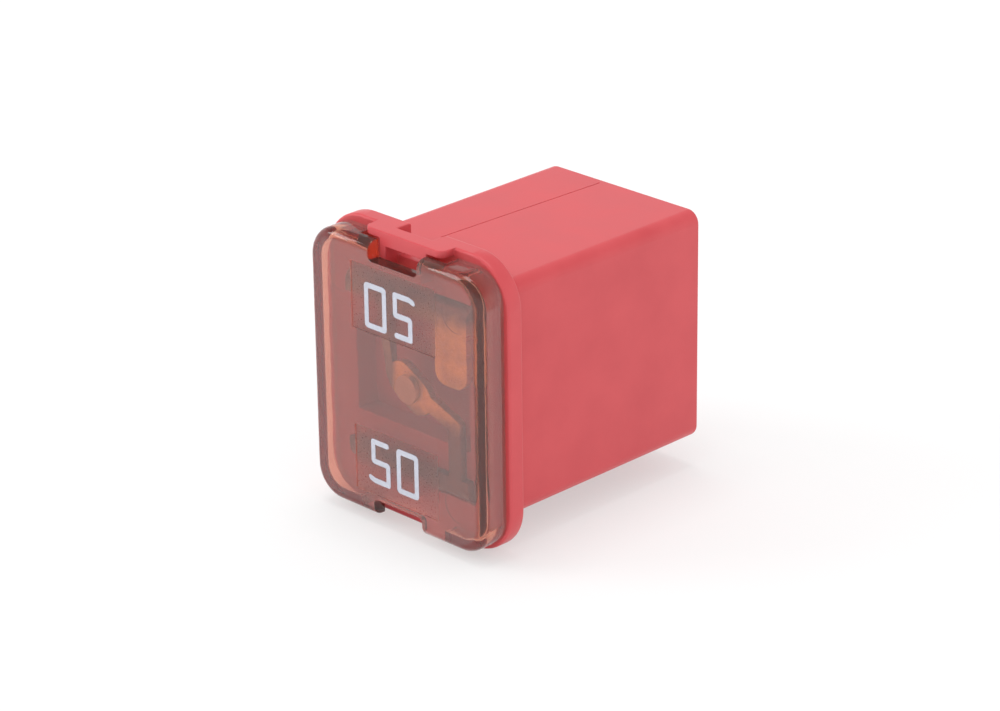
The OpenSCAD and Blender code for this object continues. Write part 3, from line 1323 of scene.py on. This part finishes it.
@dataclass
class Studio:
    """White studio: floor, soft lamps, bright surroundings and the camera.

    The camera's distance and aim are in millimetres, the aim from the fuse's axis. Its focal length is in
    pixels of a picture that is image_w wide. The floor and the nearest distance seen are in metres.
    """

    place: FuseFrame
    azimuth: float = math.radians(45.19)
    elevation: float = math.radians(22.95)
    roll: float = math.radians(-0.785)
    distance: float = 170.1
    focal_px: float = 3754.0
    image_w: float = 1000.0
    sensor: float = 36.0
    nearest: float = 0.01
    aim: Triple = (4.472, -5.275, 2.322)
    floor_size: float = 3.0
    floor_colour: Colour = (0.94, 0.94, 0.94, 1.0)
    floor_roughness: float = 0.9
    floor_white: float = 0.5
    sky: float = 0.85
    tent_low: float = math.radians(10)
    tent_high: float = math.radians(38)
    tent_dim: float = 0.35
    lamps: tuple[Lamp, ...] = (
        Lamp("overhead_lamp", (-0.04, 0.0, 0.45), 0.2, 0.5),
        Lamp("front_lamp", (-0.30, -0.25, 0.24), 0.2, 0.45),
    )

    def camera(self) -> None:
        """Sets the camera at the viewing angle, with no shift and no blur."""
        back = self.toward_camera()
        right = Vector((math.cos(self.azimuth), math.sin(self.azimuth), 0))
        side = math.cos(self.roll) * right + math.sin(self.roll) * back.cross(right)
        data = bpy.data.cameras.new("camera")
        data.sensor_fit = "HORIZONTAL"
        data.sensor_width = self.sensor
        data.lens = self.focal_px / self.image_w * self.sensor
        data.clip_start = self.nearest
        viewer = add_object("camera", data)
        aim = (Vector(self.aim) + Vector((0, 0, self.place.axis_z))) * MM
        turned = Matrix((side, back.cross(side), back)).transposed().to_4x4()
        viewer.matrix_world = Matrix.Translation(aim + back * self.distance * MM) @ turned
        bpy.context.scene.camera = viewer

    def toward_camera(self) -> Vector:
        """Way from the fuse to the camera."""
        turn, tilt = self.azimuth, self.elevation
        return Vector((math.sin(turn) * math.cos(tilt), -math.cos(turn) * math.cos(tilt), math.sin(tilt)))

    def floor(self) -> None:
        """Lays a pale floor that keeps the fuse's shadow."""
        mesh = bmesh.new()
        bmesh.ops.create_grid(mesh, x_segments=1, y_segments=1, size=self.floor_size / 2)
        thing = add_mesh("floor", mesh)
        mesh.free()
        thing.data.materials.append(self.floor_paint())

    def floor_paint(self) -> bpy.types.Material:
        """Mixes a pale paint that the camera, gloss and glass see partly as the white of the background.

        Returns:
            The floor's material.
        """
        finish = Finish("floor_paint")
        finish.set(Base_Color=self.floor_colour, Roughness=self.floor_roughness, Specular_IOR_Level=0.0)
        tree = finish.tree
        white = add_node(tree, "ShaderNodeEmission", {"Color": WHITE})
        seen = work_out(tree, Sum.LARGER, *self.rays(tree))
        share = work_out(tree, Sum.TIMES, seen, self.floor_white)
        feeds = {0: share, 1: finish.shader.outputs[0], 2: white.outputs[0]}
        mix = add_node(tree, "ShaderNodeMixShader", feeds)
        tree.links.new(mix.outputs[0], tree.nodes["Material Output"].inputs["Surface"])
        return finish.material

    @staticmethod
    def rays(tree: bpy.types.NodeTree) -> tuple[Socket, Socket]:
        """Tells the rays of the camera, and those of gloss and glass, from those of plain light.

        Args:
            tree: Nodes of a material or the world.

        Returns:
            A socket that is 1 for a ray of the camera, and one that is 1 for a ray of gloss or glass.
        """
        path = tree.nodes.new("ShaderNodeLightPath").outputs
        clear = work_out(tree, Sum.LARGER, path["Is Glossy Ray"], path["Is Transmission Ray"])
        return path["Is Camera Ray"], clear

    def surroundings(self) -> None:
        """Hangs a white tent round the fuse, which gloss and glass show dimmer high up."""
        world = bpy.data.worlds.new("studio")
        world.use_nodes = True
        bpy.context.scene.world = world
        tree = world.node_tree
        light, mirrored, white = (
            add_node(tree, "ShaderNodeBackground", {"Color": WHITE, "Strength": strength}).outputs[0]
            for strength in (self.sky, self.tent(tree), 1.0)
        )
        seen, clear = self.rays(tree)
        indirect = add_node(tree, "ShaderNodeMixShader", {0: clear, 1: light, 2: mirrored})
        shown = add_node(tree, "ShaderNodeMixShader", {0: seen, 1: indirect.outputs[0], 2: white})
        tree.links.new(shown.outputs[0], tree.nodes["World Output"].inputs["Surface"])
        tree.nodes.remove(tree.nodes["Background"])

    def tent(self, tree: bpy.types.NodeTree) -> Socket:
        """Works out the brightness of the tent, which falls with height.

        Args:
            tree: Nodes of the world.

        Returns:
            A socket that is 1 near the floor and low overhead.
        """
        way = tree.nodes.new("ShaderNodeTexCoord").outputs["Generated"]
        height = add_node(tree, "ShaderNodeSeparateXYZ", {"Vector": way}).outputs[Axis.Z.value]
        feeds = {"Value": height, "From Min": math.sin(self.tent_low), "From Max": math.sin(self.tent_high),
                 "To Min": 1.0, "To Max": self.tent_dim}
        return add_node(tree, "ShaderNodeMapRange", feeds, interpolation_type="SMOOTHSTEP").outputs["Result"]

    def build(self) -> None:
        """Sets up the whole studio."""
        bpy.context.scene.view_settings.view_transform = "Standard"
        self.camera()
        self.floor()
        self.surroundings()
        for lamp in self.lamps:
            lamp.hang(Vector((0, 0, self.place.axis_z * MM)))


def report(thing: bpy.types.Object) -> None:
    """Logs a finished piece, with the edges at which its mesh is open.

    Args:
        thing: The piece.
    """
    mesh = bmesh.new()
    mesh.from_mesh(thing.data)
    open_edges = sum(len(edge.link_faces) != 2 for edge in mesh.edges)
    LOG.info("%s: %d faces, %d open edges", thing.name, len(mesh.faces), open_edges)
    mesh.free()


def main() -> None:
    """Builds the studio and the pieces in order, and reports each piece."""
    logging.basicConfig(level=logging.INFO, format="%(message)s")
    place = FuseFrame.read()
    Studio(place).build()
    cap = Cap(place)
    steel = SPRING_STEEL.material()
    pieces = [
        Housing(place).build(RED_PLASTIC.material()),
        cap.build(CLEAR_CAP.material()),
        *RatingPrint(cap).build(WHITE_INK.material()),
        SheetPiece(place, "fuse_element", "element_metal").build(PLATED_STRIP.material()),
        SheetPiece(place, "tin_rivet", "tin").build(DULL_TIN.material()),
        *(SheetPiece(place, node, "spring_steel").build(steel) for node in ("clip_upper", "clip_lower")),
    ]
    for thing in pieces:
        report(thing)


if __name__ == "__main__":
    main()
